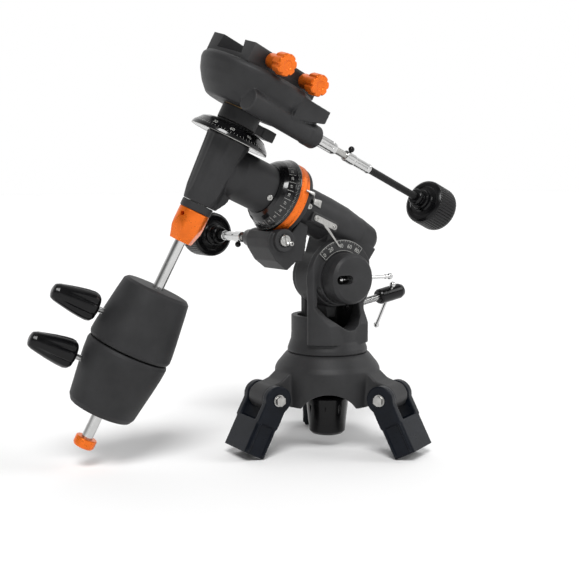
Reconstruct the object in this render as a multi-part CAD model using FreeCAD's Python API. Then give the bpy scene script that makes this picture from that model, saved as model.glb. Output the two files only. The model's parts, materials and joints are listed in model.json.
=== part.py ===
"""Manual equatorial telescope mount head with hand slow-motion controls.

Every solid is built in the frame of the axis that carries it and is then placed in the row frame.
The row frame has +Z up and its origin where the azimuth axis meets the azimuth bearing plane,
between the yoke and the tripod head. +X is towards the low end of the polar axis. Millimetres.
"""
import FreeCAD, Part
import math
import os

V = FreeCAD.Vector

# ---- driving dimensions: where the axes are -------------------------------------------------
LATITUDE = 23.15          # tilt of the polar axis, degrees
RA_TURN = -11.66          # how far the Dec assembly is turned about the polar axis
DEC_TURN = 7.5            # how far the saddle is turned about the Dec axis
WEIGHT_TURN = -10.0       # where the clamp knobs of the weights point, about the bar
POLAR_Z = 147.24          # where the polar axis crosses the azimuth axis
DEC_ALONG_POLAR = 158.16  # from there to the Dec axis
PIVOT_Z = 85.0            # altitude pivot, along Y
SCREW_TILT = 10.0         # rise of the altitude screw towards the rear
SCREW_AT = (50.3, 52.0)   # a point of the altitude screw's axis, (x, z)
WORM_OFFSET = 47.0        # worm axis to wheel axis, both drives
RA_WORM_S = 64.0          # RA worm axis along the polar axis
DEC_WORM_S = 70.5         # Dec worm axis along the Dec axis

# ---- driving dimensions: the main bodies ----------------------------------------------------
BASE_R = 45.0             # azimuth bearing ring
EAR_R = 43.0              # near ear of the yoke
FAR_EAR_R = 30.0
EAR_IN, EAR_OUT = 18.0, 27.0
HUB_HALF = 17.6           # half width of the housing's hub between the ears
LEG_HINGE_R, LEG_HINGE_Z = 78.0, -45.0
LEG_SPREAD = 27.0         # lean of a leg from the vertical
LEG_AZIMUTHS = (55.0, 175.0, 295.0)
LEG_TUBE_R = 7.6
LEG_TUBE_OFFSET = 9.9
POLAR_SHAFT_R = 12.0
DEC_SHAFT_R = 10.0
BAR_R = 6.0
WHEEL_R = 38.6
WHEEL_TEETH = 100
WORM_R = 7.9
BAND_IN, BAND_OUT = 39.0, 40.3
DIAL_R = 41.2
NECK_R = 26.8
DEC_DIAL_R = 43.0
SPIGOT_R = 22.0
KNOB_R = 26.0
RA_COUPLING, DEC_COUPLING = 56.0, 114.0       # along the worm shafts: where the couplings start
RA_KNOB, DEC_KNOB = 104.0, 238.0              # and where the control knobs' hubs start
BAR_START, BAR_END = -53.1, -316.5            # counterweight bar along the Dec axis
UPPER_SCREW_S, LOWER_SCREW_S = -187.0, -241.0  # clamp screws of the weights, along the Dec axis
SADDLE_CLAMP_S, SADDLE_CLAMP_X = 116.0, 24.0  # saddle clamps: along the Dec axis, along the tube

# ---- driving dimensions: bolts, screws and shafts (radii) ---------------------------------------
AZIMUTH_BOLT_R = 5.0
PIVOT_BOLT_R = 5.0
HINGE_BOLT_R = 3.0
ALTITUDE_SCREW_R = 4.0
TOMMY_R = 2.3
LEVER_R = 2.0
WORM_SHAFT_R = 4.0
WORM_PLUG_R = 6.4
CONTROL_SHAFT_R = 3.0
WEIGHT_SCREW_R = 3.2
SADDLE_SCREW_R = 4.0
BUSH_R = 15.0             # outside of the polar shaft's bushes
DEC_BUSH_R = 13.0         # outside of the Dec shaft's bushes
RUN = 0.05                # radial clearance of a running fit
SLIDE = 0.08              # radial clearance of a weight on its bar
GAP = 0.4                 # gap between faces that move past each other


# ---- frames ---------------------------------------------------------------------------------
def axes_frame(origin, x, y, z):
    return FreeCAD.Placement(origin, FreeCAD.Rotation(x, y, z, "ZXY"))


def turned(frame, degrees):
    """The same frame, turned about its own z axis."""
    return frame.multiply(FreeCAD.Placement(V(), FreeCAD.Rotation(V(0, 0, 1), degrees)))


lat = math.radians(LATITUDE)
POLAR = V(-math.cos(lat), 0, math.sin(lat))
ACROSS = V(math.sin(lat), 0, math.cos(lat))
RA0 = axes_frame(V(0, 0, POLAR_Z), ACROSS, V(0, 1, 0), POLAR)   # z up the polar axis, fixed
RA = turned(RA0, RA_TURN)                                       # turns with the Dec housing
DEC_AXIS = RA.Rotation.multVec(V(1, 0, 0))
DEC0 = axes_frame(RA0.multVec(V(0, 0, DEC_ALONG_POLAR)), -POLAR, POLAR.cross(DEC_AXIS), DEC_AXIS)
DEC = turned(DEC0, DEC_TURN)                                    # turns with the saddle
WEIGHT = turned(DEC0, WEIGHT_TURN)
PIVOT = axes_frame(V(0, 0, PIVOT_Z), V(1, 0, 0), V(0, 0, 1), V(0, -1, 0))   # z out of the near ear
tilt = math.radians(SCREW_TILT)
SCREW = axes_frame(V(SCREW_AT[0], 0, SCREW_AT[1]), V(0, -1, 0),
                   V(math.sin(tilt), 0, -math.cos(tilt)), V(math.cos(tilt), 0, math.sin(tilt)))
TOMMY_DIRECTION = V(0.602, -0.798, 0)                            # across the altitude screw's barrel
TOMMY = axes_frame(V(0, 0, 41), V(0, 0, 1), TOMMY_DIRECTION.cross(V(0, 0, 1)), TOMMY_DIRECTION)
RA_WORM = axes_frame(RA0.multVec(V(-WORM_OFFSET, 0, RA_WORM_S)), ACROSS, -POLAR, V(0, 1, 0))
DEC_WORM = axes_frame(DEC.multVec(V(0, -WORM_OFFSET, DEC_WORM_S)),
                      DEC.Rotation.multVec(V(0, 1, 0)), DEC.Rotation.multVec(V(0, 0, 1)),
                      DEC.Rotation.multVec(V(1, 0, 0)))


def leg_frame(azimuth):
    """Origin at a leg's hinge, x away from the axis of the leg, y along the hinge, z down the leg."""
    a, lean = math.radians(azimuth), math.radians(LEG_SPREAD)
    out = V(math.cos(a), math.sin(a), 0)
    along = out * math.sin(lean) + V(0, 0, -math.cos(lean))
    hinge = V(-math.sin(a), math.cos(a), 0)
    return axes_frame(out * LEG_HINGE_R + V(0, 0, LEG_HINGE_Z), hinge.cross(along), hinge, along)


# ---- shapes ---------------------------------------------------------------------------------
def revolve(points):
    """A solid of revolution about z from (radius, height) corners."""
    corners = [V(r, 0, z) for r, z in points]
    face = Part.Face(Part.makePolygon(corners + corners[:1]))
    return face.revolve(V(), V(0, 0, 1), 360)


def tube(outer, inner, low, high):
    return revolve([(inner, low), (outer, low), (outer, high), (inner, high)])


def rod(radius, low, high):
    return Part.makeCylinder(radius, high - low, V(0, 0, low))


def cross_rod(radius, start, end):
    """A cylinder between two points."""
    a, b = V(*start), V(*end)
    return Part.makeCylinder(radius, (b - a).Length, a, b - a)


def block(low, high):
    size = [b - a for a, b in zip(low, high)]
    return Part.makeBox(*size, V(*low))


def plate(points, low, high):
    """A prism between two heights, from (x, y) corners."""
    corners = [V(x, y, low) for x, y in points]
    return Part.Face(Part.makePolygon(corners + corners[:1])).extrude(V(0, 0, high - low))


def side_plate(points, low, high):
    """A prism between two values of y, from (x, z) corners."""
    corners = [V(x, low, z) for x, z in points]
    return Part.Face(Part.makePolygon(corners + corners[:1])).extrude(V(0, high - low, 0))


def hexagon(across_flats, low, high):
    r = across_flats / math.sqrt(3)
    angles = [math.radians(60 * i) for i in range(6)]
    return plate([(r * math.cos(a), r * math.sin(a)) for a in angles], low, high)


def ball(radius, at):
    return Part.makeSphere(radius, V(*at))


def gear(outer, root, teeth, low, high):
    """A toothed disc with straight flanks."""
    points = []
    for i in range(teeth):
        for part, r in ((-0.3, root), (-0.14, outer), (0.14, outer), (0.3, root)):
            a = 2 * math.pi * (i + part) / teeth
            points.append((r * math.cos(a), r * math.sin(a)))
    return plate(points, low, high)


def put(shape, frame):
    return shape.transformed(frame.toMatrix(), True)


def turned_about_z(shape, degrees):
    copy = shape.copy()
    copy.rotate(V(), V(0, 0, 1), degrees)
    return copy


# ---- the tripod head, its legs' brackets and the azimuth lock -----------------------------------
DECK = -25.0


def tripod_head():
    skirt_end, arch_r, arch_top = -57.0, 35.0, -40.0
    bore = AZIMUTH_BOLT_R + RUN
    shell = revolve([(bore, 0), (45.8, 0), (48, -2), (57, -13), (59.5, -18), (59.8, -26),
                     (58, skirt_end), (53, skirt_end), (54.5, DECK), (18, DECK), (18, DECK - 4),
                     (bore, DECK - 4)])
    tongue = side_plate([(40, -20), (59, -19), (68, -26.5), (79, -30.2), (78, -45), (52, -57.5),
                         (40, -40)], -16.5, 16.5)
    knuckle = cross_rod(14.8, (LEG_HINGE_R, -16.5, LEG_HINGE_Z), (LEG_HINGE_R, 16.5, LEG_HINGE_Z))
    hollow = block((20, -16.5, -70), (53.5, 16.5, DECK))
    bolt_hole = cross_rod(HINGE_BOLT_R, (LEG_HINGE_R, -30, LEG_HINGE_Z),
                          (LEG_HINGE_R, 30, LEG_HINGE_Z))
    lug = tongue.fuse(knuckle).cut(hollow).cut(bolt_hole)
    for azimuth in LEG_AZIMUTHS:
        shell = shell.fuse(turned_about_z(lug, azimuth))
    for azimuth in LEG_AZIMUTHS:
        a = math.radians(azimuth + 60)
        arch = cross_rod(arch_r, (20 * math.cos(a), 20 * math.sin(a), arch_top - arch_r),
                         (90 * math.cos(a), 90 * math.sin(a), arch_top - arch_r))
        shell = shell.cut(arch)
    return shell.removeSplitter()


def leg_bracket():
    """A fork on the leg's hinge, with sockets for the leg's two tubes."""
    cheek_in, cheek_out, reach, length, socket_depth = 17.0, 26.5, 30.0, 65.0, 30.0
    solid = block((-13, -24, 28), (13, 24, length))
    for side in (-1, 1):
        inner, outer = sorted((side * cheek_in, side * cheek_out))
        cheek = block((-13, inner, 0), (13, outer, reach))
        cheek = cheek.fuse(cross_rod(15.5, (0, inner, 0), (0, outer, 0)))
        solid = solid.fuse(cheek)
    for side in (-1, 1):
        socket = Part.makeCylinder(LEG_TUBE_R, 50, V(0, side * LEG_TUBE_OFFSET, length - socket_depth))
        solid = solid.cut(socket)
        solid = solid.cut(block((9, side * 13 - 3, 34), (14, side * 13 + 3, length + 1)))
    solid = solid.cut(cross_rod(HINGE_BOLT_R + RUN, (0, -40, 0), (0, 40, 0)))
    return solid.removeSplitter()


def leg_bolt():
    """Hinge bolt with its washer-faced head and nut, along the hinge axis."""
    bolt = rod(HINGE_BOLT_R, -32, 30).fuse(hexagon(10, 27.6, 32.5)).fuse(rod(6.5, 26.8, 27.9))
    nut = hexagon(10, -32, -27.6).fuse(rod(6.5, -27.9, -26.8))
    return bolt.fuse(nut).removeSplitter()


def azimuth_knob():
    """Clamp bolt up the azimuth axis, with the tapered knob under the deck."""
    grip = revolve([(0, -94), (17.5, -94), (20.3, -91), (24.3, -53), (23, -50.5), (11, -50.5),
                    (11, DECK - 4 - GAP), (0, DECK - 4 - GAP)])
    for i in range(8):
        a = math.radians(45 * i)
        grip = grip.cut(Part.makeCylinder(2, 34, V(24.4 * math.cos(a), 24.4 * math.sin(a), -95)))
    return grip.fuse(rod(AZIMUTH_BOLT_R, DECK - 4 - GAP, 19)).removeSplitter()


# ---- the yoke --------------------------------------------------------------------------------
STEP_Z = 42.0             # top of the round base
LEVER_Z = 42.5            # lock lever, out from the azimuth axis


def near_wall():
    front = [(-EAR_IN, 12), (-EAR_IN, 130), (-EAR_OUT, 130), (-EAR_OUT, 55), (-39, 33), (-41, 12)]
    corners = [V(-50, y, z) for y, z in front]
    slab = Part.Face(Part.makePolygon(corners + corners[:1])).extrude(V(100, 0, 0))
    column = side_plate([(-42, 12), (29, 12), (29, 60), (20, 85), (-43, 85), (-42, 60)], -50, 0)
    ear = cross_rod(EAR_R, (0, -50, PIVOT_Z), (0, 0, PIVOT_Z))
    wall = slab.common(column.fuse(ear))
    return wall.common(rod(47.5, 0, 140))


def window():
    """The opening below the near ear: a leaning U, closed at its top by an arc about the pivot."""
    opening = side_plate([(-34, 76), (-34, 54), (-26, 44), (-8, 31), (-1, 27.5), (8, 27.5),
                          (14, 31.5), (20, 42), (23.5, 56), (23.5, 70)], -60, -EAR_IN + 1)
    return opening.cut(cross_rod(31, (0, -60, PIVOT_Z), (0, 0, PIVOT_Z)))


def yoke():
    floor, wall_r = 9.0, 34.0
    base = revolve([(0, 0.3), (45.2, 0.3), (45, 4), (43, 8), (41.6, 13), (41, 22), (41, STEP_Z),
                    (wall_r, STEP_Z), (wall_r, floor), (14, floor), (14, 21), (0, 21)])
    far = side_plate([(-18, 12), (29, 12), (29, 70), (20, PIVOT_Z), (-22, PIVOT_Z), (-18, 60)],
                     EAR_IN, EAR_OUT)
    far = far.fuse(cross_rod(FAR_EAR_R, (0, EAR_IN, PIVOT_Z), (0, EAR_OUT, PIVOT_Z)))
    bridge = block((27, -EAR_IN, 24), (39, EAR_IN, 61))
    solid = base.fuse(near_wall()).fuse(far).fuse(bridge)
    solid = solid.cut(window())
    solid = solid.cut(rod(AZIMUTH_BOLT_R + RUN, -5, 30))
    solid = solid.cut(cross_rod(PIVOT_BOLT_R, (0, -60, PIVOT_Z), (0, 60, PIVOT_Z)))
    solid = solid.cut(put(rod(ALTITUDE_SCREW_R + RUN, -60, 20), SCREW))
    return solid.removeSplitter()


def latitude_scale():
    """Thin scale plate on the near ear, in the pivot's frame."""
    ring = tube(42.6, 30, EAR_OUT, EAR_OUT + 0.6)
    sector = [(0, 0)] + [(60 * math.sin(math.radians(a)), 60 * math.cos(math.radians(a)))
                         for a in (-50, -20, 15, 43)]
    return ring.common(plate(sector, EAR_OUT - 1, EAR_OUT + 2))


def pivot_bolt():
    """Altitude pivot through both ears: its end screws into the cap, its nut is outside the far ear."""
    return rod(PIVOT_BOLT_R, -40, 38)


def pivot_nut():
    nut = hexagon(17, -37, -28.5).fuse(rod(11, -28.5, -EAR_OUT))
    return nut.cut(rod(PIVOT_BOLT_R, -45, -20))


def lock_cap():
    """Domed nut of the altitude lock, with a cross hole and a slot for its sliding lever."""
    cap = revolve([(0, 27.4), (28.5, 27.4), (28.5, 40), (27.6, 46), (24.5, 49), (0, 52.5)])
    slot = block((-24, -3.9, 38.5), (-5, 3.9, 60))
    cap = cap.cut(rod(PIVOT_BOLT_R + RUN, 20, 38 + GAP)).cut(slot)
    return cap.cut(cross_rod(LEVER_R, (-10, 0, LEVER_Z), (40, 0, LEVER_Z)))


def lock_lever():
    bar = cross_rod(LEVER_R, (-12, 0, LEVER_Z), (54, 0, LEVER_Z))
    return bar.fuse(ball(3.6, (56, 0, LEVER_Z))).fuse(ball(3.4, (-14, 0, LEVER_Z)))


def altitude_screw():
    """Altitude screw with its barrel, in the screw's frame; the tommy bar is a loose piece in it."""
    barrel = revolve([(0, 24), (7.5, 24), (9, 27), (9, 56), (6, 62), (0, 62.5)])
    screw = rod(ALTITUDE_SCREW_R, -26, 24).fuse(barrel)
    return screw.cut(put(rod(TOMMY_R + RUN, -30, 30), TOMMY))


def tommy_bar():
    return rod(TOMMY_R, -50, 13).fuse(ball(3.6, (0, 0, -51))).fuse(ball(3.6, (0, 0, 14)))


# ---- the RA housing ---------------------------------------------------------------------------
def ra_housing():
    pivot_x = -(POLAR_Z - PIVOT_Z) * math.cos(lat)
    pivot_s = -(POLAR_Z - PIVOT_Z) * math.sin(lat)
    barrel = revolve([(0, -66), (13, -66), (16.5, -61), (20, -40), (23.6, -15), (24.6, 10),
                      (24.6, 52), (BAND_IN, 57), (BAND_IN, 63.6), (0, 63.6)])
    web = side_plate([(-8, -64.5), (-20, -61.5), (pivot_x, -55), (pivot_x, 2), (-18, 6), (-8, 6)],
                     -HUB_HALF, HUB_HALF)
    hub = cross_rod(33, (pivot_x, -HUB_HALF, pivot_s), (pivot_x, HUB_HALF, pivot_s))
    pad = side_plate([(-4, 4), (-4, 41), (-15, 41), (-15, 4)], -28.2, -16)
    worm_case = side_plate([(-52, 82), (-43, 80.5), (-43, 61.5), (-38.5, 56.5), (-20, 50), (-20, 38),
                            (-45.4, 31.5), (-58.7, 30), (-61.6, 37.6), (-74.6, 45), (-70.4, 62),
                            (-60.6, 77)], -22, 22)
    solid = barrel.fuse(web).fuse(hub).fuse(pad).fuse(worm_case)
    world = put(solid, RA0)
    toe = side_plate([(-6, PIVOT_Z - 46), (5, PIVOT_Z - 46), (8, PIVOT_Z - 30), (-9, PIVOT_Z - 30)],
                     -8, 8)
    world = world.fuse(put(rod(12.6, -27, 25), RA_WORM)).fuse(toe)
    wheel_space = put(rod(BAND_OUT + 1.2, 63.6, 100), RA0)
    band_seat = put(tube(BAND_OUT + 1.2, BAND_IN, 62.9, 64), RA0)
    bores = [wheel_space, band_seat,
             put(rod(BUSH_R, -60, 70), RA0),
             put(rod(WORM_R + GAP, -15, 15), RA_WORM),
             put(rod(WORM_SHAFT_R + RUN, -30, 30), RA_WORM),
             put(rod(WORM_PLUG_R, -30, -23.5), RA_WORM),
             cross_rod(PIVOT_BOLT_R + RUN, (0, -60, PIVOT_Z), (0, 60, PIVOT_Z))]
    for bore in bores:
        world = world.cut(bore)
    return world.removeSplitter()


def ra_bushes():
    lower = tube(BUSH_R, POLAR_SHAFT_R + RUN, -48, -34)
    upper = tube(BUSH_R, POLAR_SHAFT_R + RUN, 46, 62)
    return [lower, upper]


def gear_band():
    """Thin band round the worm wheel, open where the worm reaches in."""
    band = tube(BAND_OUT, BAND_IN, 62.9, 73.9)
    return band.cut(block((-60, -11, 60), (-30, 11, 80)))


def latitude_pointer():
    """Plate with two screw holes and a needle that crosses to the scale, in the RA frame."""
    strip = side_plate([(-6.4, 5.8), (-6.4, 38.7), (-12.9, 38.7), (-12.9, 5.8)], -29.2, -28.2)
    needle = side_plate([(-12, 26), (-12, 19), (-26.2, -5.7), (-27.2, -4.9)], -29.2, -28.2)
    return strip.fuse(needle).removeSplitter()


def housing_screws():
    screws = []
    for s in (9.2, 35.3):
        screws.append(cross_rod(2.3, (-9.65, -30.6, s), (-9.65, -29.2, s)))
    index = cross_rod(3.2, (-1, -20, 47.6), (-1, -27.5, 47.6))
    screws.append(index.cut(rod(24.6, 40, 52)))
    return screws


def ra_pointer():
    """Bent index finger that reaches over the band to the edge of the RA circle."""
    bent = side_plate([(24.7, 33), (24.7, 44), (41.0, 57), (41.2, 68), (42.2, 68), (42.0, 56.4),
                       (25.8, 43), (25.8, 33)], -6, 6)
    taper = Part.Face(Part.makePolygon([V(0, -3, 32), V(0, 6, 32), V(0, 0.7, 68.5),
                                        V(0, -0.7, 68.5), V(0, -3, 32)])).extrude(V(60, 0, 0))
    return turned_about_z(bent.common(taper), -77)


def worm(length_low, length_high):
    """A worm with its journals; the thread is stood for by rounded rings."""
    pitch, root = 2.4, 6.4
    body = rod(WORM_SHAFT_R, length_low, length_high).fuse(rod(root, -13, 13))
    for i in range(-5, 6):
        z = i * pitch
        ring = revolve([(root - 0.4, z - 0.9), (WORM_R, z - 0.3), (WORM_R, z + 0.3),
                        (root - 0.4, z + 0.9)])
        body = body.fuse(ring)
    return body.removeSplitter()


def worm_wheel(low, high, bore):
    return gear(WHEEL_R, WHEEL_R - 1.4, WHEEL_TEETH, low, high).cut(rod(bore, low - 5, high + 5))


def dec_worm_wheel():
    """Worm wheel with the hub that joins it to the clamp ring."""
    hub = tube(20, DEC_SHAFT_R + RUN, 62.2, 66)
    return worm_wheel(66, 75, DEC_SHAFT_R + RUN).fuse(hub)


def ra_worm_plug():
    plug = rod(WORM_PLUG_R, -29, -24.6)
    return plug.cut(block((-7, -0.8, -30), (7, 0.8, -28)))


def ra_worm_cover():
    bore = WORM_SHAFT_R + GAP
    return revolve([(bore, 25), (11.5, 25), (11.5, 31), (9, 44), (6.5, 48), (bore, 48)])


WORM_IN_COUPLING = 12.0   # how far a worm shaft goes into its coupling


def coupling(start):
    """Collar on the worm shaft, with a pinch screw and a ferrule for the control shaft."""
    collar = rod(6, start, start + 15).fuse(rod(5.2, start + 15, start + 40))
    worm_end = start + WORM_IN_COUPLING
    return collar.cut(rod(WORM_SHAFT_R, start - 1, worm_end)) \
                 .cut(rod(CONTROL_SHAFT_R, start + 14, start + 41))


def pinch_screw(start):
    at = start + 5
    stem = cross_rod(1.6, (-4, 0, at), (-8, 0, at)).cut(rod(6, at - 5, at + 5))
    return stem.fuse(ball(3.4, (-10, 0, at)))


def slow_shaft(start, end):
    """Control shaft from a coupling that starts at `start` to its knob."""
    sleeve = rod(4.3, start + 40, end - 14)
    return rod(CONTROL_SHAFT_R, start + 14, end).fuse(sleeve).removeSplitter()


SHAFT_IN_KNOB = 14.0      # how far a control shaft goes into its knob


def slow_knob(start):
    """Round control knob with a stepped hub; the grip's fine grooves are left plain here."""
    hub = rod(7, start, start + 8).fuse(rod(10.5, start + 8, start + 16))
    grip = revolve([(0, start + 16), (KNOB_R - 3, start + 16), (KNOB_R, start + 19),
                    (KNOB_R, start + 46), (KNOB_R - 3, start + 49), (0, start + 49)])
    bore = rod(CONTROL_SHAFT_R, start - 1, start + SHAFT_IN_KNOB)
    return hub.fuse(grip).cut(bore).removeSplitter()


# ---- the Dec housing and the setting circles ----------------------------------------------------
RING_TOP = -44.4          # low end of the Dec housing


def dec_housing():
    barrel = put(revolve([(0, RING_TOP), (17.2, RING_TOP), (18.2, -38), (19.6, -20.6), (21.2, 1.4),
                          (22.8, 27), (24, 30), (SPIGOT_R, 30), (SPIGOT_R, 46), (0, 46)]), DEC0)
    foot = put(side_plate([(0, -20), (27, -20), (26.5, -30), (25.2, -33.6), (17.5, RING_TOP),
                           (0, RING_TOP)], -9, 9), DEC0)
    neck = put(revolve([(0, 76), (24, 76), (NECK_R, 78), (NECK_R, 136), (23, 146), (16, 152),
                        (0, 152)]), RA)
    solid = barrel.fuse(neck).fuse(foot)
    solid = solid.cut(put(rod(POLAR_SHAFT_R, 70, 138), RA))
    return solid.cut(put(rod(DEC_BUSH_R, -60, 60), DEC0)).removeSplitter()


def polar_shaft():
    return rod(POLAR_SHAFT_R, -50, 138).fuse(rod(8, -59, -50))


def polar_nut():
    return hexagon(22, -58, -50.2).cut(rod(8, -70, -40))


def clutch_screw():
    """Head of the RA clutch screw in the Dec housing's neck."""
    a = math.radians(-104)
    out = V(math.cos(a), math.sin(a), 0)
    head = Part.makeCylinder(3.4, 1.6, out * (NECK_R - 0.1) + V(0, 0, 98), out)
    return head.cut(rod(NECK_R, 70, 136))


def ra_circle():
    return revolve([(NECK_R + RUN, 74.3), (DIAL_R, 74.3), (DIAL_R, 76.6), (38.6, 80.5), (35, 88),
                    (32, 91.5), (28.6, 94), (NECK_R + RUN, 94)])


def dec_circle():
    return revolve([(SPIGOT_R + RUN, 30.6), (DEC_DIAL_R, 29.4), (DEC_DIAL_R, 30.8), (42, 33.5),
                    (38, 37.8), (35.4, 41), (30, 43.6), (24.5, 45), (SPIGOT_R + RUN, 45)])


def dec_bushes():
    lower = tube(DEC_BUSH_R, DEC_SHAFT_R + RUN, RING_TOP, -30)
    upper = tube(DEC_BUSH_R, DEC_SHAFT_R + RUN, 28, 46)
    return [lower, upper]


# ---- the Dec axis -----------------------------------------------------------------------------
def dec_clamp_ring():
    """Clutch ring with its clamp arm, between the circle and the saddle's head."""
    ring = rod(21.5, 46.6, 62.2)
    arm = block((8, -8.5, 47.2), (38, 8.5, 57.8)).fuse(block((33, -9.5, 46.8), (46.7, 9.5, 58.2)))
    return ring.fuse(arm).cut(rod(DEC_SHAFT_R + RUN, 40, 70)).removeSplitter()


def worm_to_dec(shape):
    """A shape in the Dec worm's frame, taken to the frame of the saddle."""
    return put(shape, DEC.inverse().multiply(DEC_WORM))


def dec_head():
    bowl = revolve([(20.6, 62.8), (40, 62.8), (43.5, 64), (52, 73), (59, 84), (63, 95), (63, 100),
                    (60, 104), (0, 104), (0, 76), (40.2, 76), (40.2, 65.2), (20.6, 65.2)])
    case = revolve([(0, -34), (11, -34), (12, -33), (12, 60), (10.5, 66), (0, 66)])
    solid = bowl.fuse(worm_to_dec(case))
    bores = [rod(40.2, 65.2, 76),
             rod(DEC_SHAFT_R, 60, 90),
             worm_to_dec(rod(WORM_R + GAP, -15, 15)),
             worm_to_dec(rod(WORM_SHAFT_R + RUN, -28, 70))]
    for bore in bores:
        solid = solid.cut(bore)
    return solid.removeSplitter()


def dec_worm_bush():
    """Plated bush on the worm case's nose, with ribs along it."""
    bush = rod(6.8, 66, 96)
    for i in range(6):
        a = math.radians(60 * i)
        bush = bush.cut(Part.makeCylinder(1.3, 26, V(7.4 * math.cos(a), 7.4 * math.sin(a), 68.5)))
    return bush.cut(rod(WORM_SHAFT_R + RUN, 60, 100))


def dec_shaft():
    return rod(DEC_SHAFT_R, BAR_START, 90)


def saddle():
    """Dovetail saddle: a block along the tube with the groove for a sliding bar."""
    body = block((-48, -38, 104), (48, 38, 124))
    section = [(-22.5, 110), (22.5, 110), (18.6, 124.5), (-18.6, 124.5), (-22.5, 110)]
    mouth = Part.makePolygon([V(-60, y, z) for y, z in section])
    solid = body.cut(Part.Face(mouth).extrude(V(120, 0, 0)))
    for x in (-SADDLE_CLAMP_X, SADDLE_CLAMP_X):
        solid = solid.cut(cross_rod(SADDLE_SCREW_R + RUN, (x, -60, SADDLE_CLAMP_S),
                                    (x, 0, SADDLE_CLAMP_S)))
        solid = solid.cut(Part.makeCylinder(4.6, 10, V(x, 0, 106)))
    return solid


def saddle_screws():
    """Cap screws that hold the saddle to the head, sunk in the groove's floor."""
    screws = []
    for x in (-SADDLE_CLAMP_X, SADDLE_CLAMP_X):
        head = Part.makeCylinder(4.5, 3.6, V(x, 0, 106))
        screws.append(head.cut(Part.makeCylinder(2, 3, V(x, 0, 107.4))))
    return screws


def saddle_clamp(x):
    """Clamp screw with its lobed knob on the near side of the saddle."""
    lobes, grip_r, hub_r, flute_r, flute_at = 7, 11.5, 8.0, 3.2, 13.2
    knob = rod(grip_r, 56, 70)
    for i in range(lobes):
        a = 2 * math.pi * i / lobes
        knob = knob.cut(Part.makeCylinder(flute_r, 20, V(flute_at * math.cos(a),
                                                         flute_at * math.sin(a), 53)))
    whole = knob.fuse(rod(hub_r, 42, 56)).fuse(rod(SADDLE_SCREW_R, 24, 44))
    outward = axes_frame(V(x, 0, SADDLE_CLAMP_S), V(1, 0, 0), V(0, 0, 1), V(0, -1, 0))
    return put(whole, outward).removeSplitter()


# ---- the counterweights -------------------------------------------------------------------------
def lock_ring():
    return tube(17.2, DEC_SHAFT_R, -53.0, RING_TOP - GAP)


def bar_collar():
    collar = revolve([(BAR_R, BAR_START), (16.6, BAR_START), (16.6, -70.5), (13.5, -82),
                      (11.6, -88), (BAR_R, -88)])
    return collar.cut(cross_rod(2.6, (0, 0, -62.5), (30, 0, -62.5)))


def counterweight_bar():
    return rod(BAR_R, BAR_END, BAR_START)


def end_cap():
    return revolve([(0, BAR_END), (11.6, BAR_END), (11.6, -325), (10, -327), (0, -327)])


def weight(outline, screw_s):
    """A cast weight that slides on the bar, with a threaded hole for its clamp screw."""
    bore = BAR_R + SLIDE
    solid = revolve([(bore, outline[0][1])] + outline + [(bore, outline[-1][1])])
    return solid.cut(cross_rod(WEIGHT_SCREW_R + RUN, (0, 0, screw_s), (-60, 0, screw_s)))


def upper_weight():
    return weight([(33, -143.3), (36.6, -146), (40.6, -172), (44.4, -198), (45.4, -209),
                   (43.6, -213.7)], UPPER_SCREW_S)


def lower_weight():
    return weight([(43.4, -214.5), (45, -219), (43.8, -232), (40, -260), (36.6, -282),
                   (33, -285.5)], LOWER_SCREW_S)


def clamp_screw(s):
    return cross_rod(WEIGHT_SCREW_R, (-BAR_R - GAP, 0, s), (-56, 0, s))


def clamp_knob(s):
    """Tapered knob on a clamp screw, widest near its foot."""
    bore = WEIGHT_SCREW_R
    knob = revolve([(bore, 50), (8, 50), (12.5, 51.5), (15, 54.5), (15.6, 58), (14.8, 66),
                    (13.2, 76), (11, 87), (9.2, 95), (7.2, 99), (5, 100.5), (0, 100.5), (0, 56),
                    (bore, 56)])
    knob.rotate(V(), V(0, 1, 0), -90)
    knob.translate(V(0, 0, s))
    return knob


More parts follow.
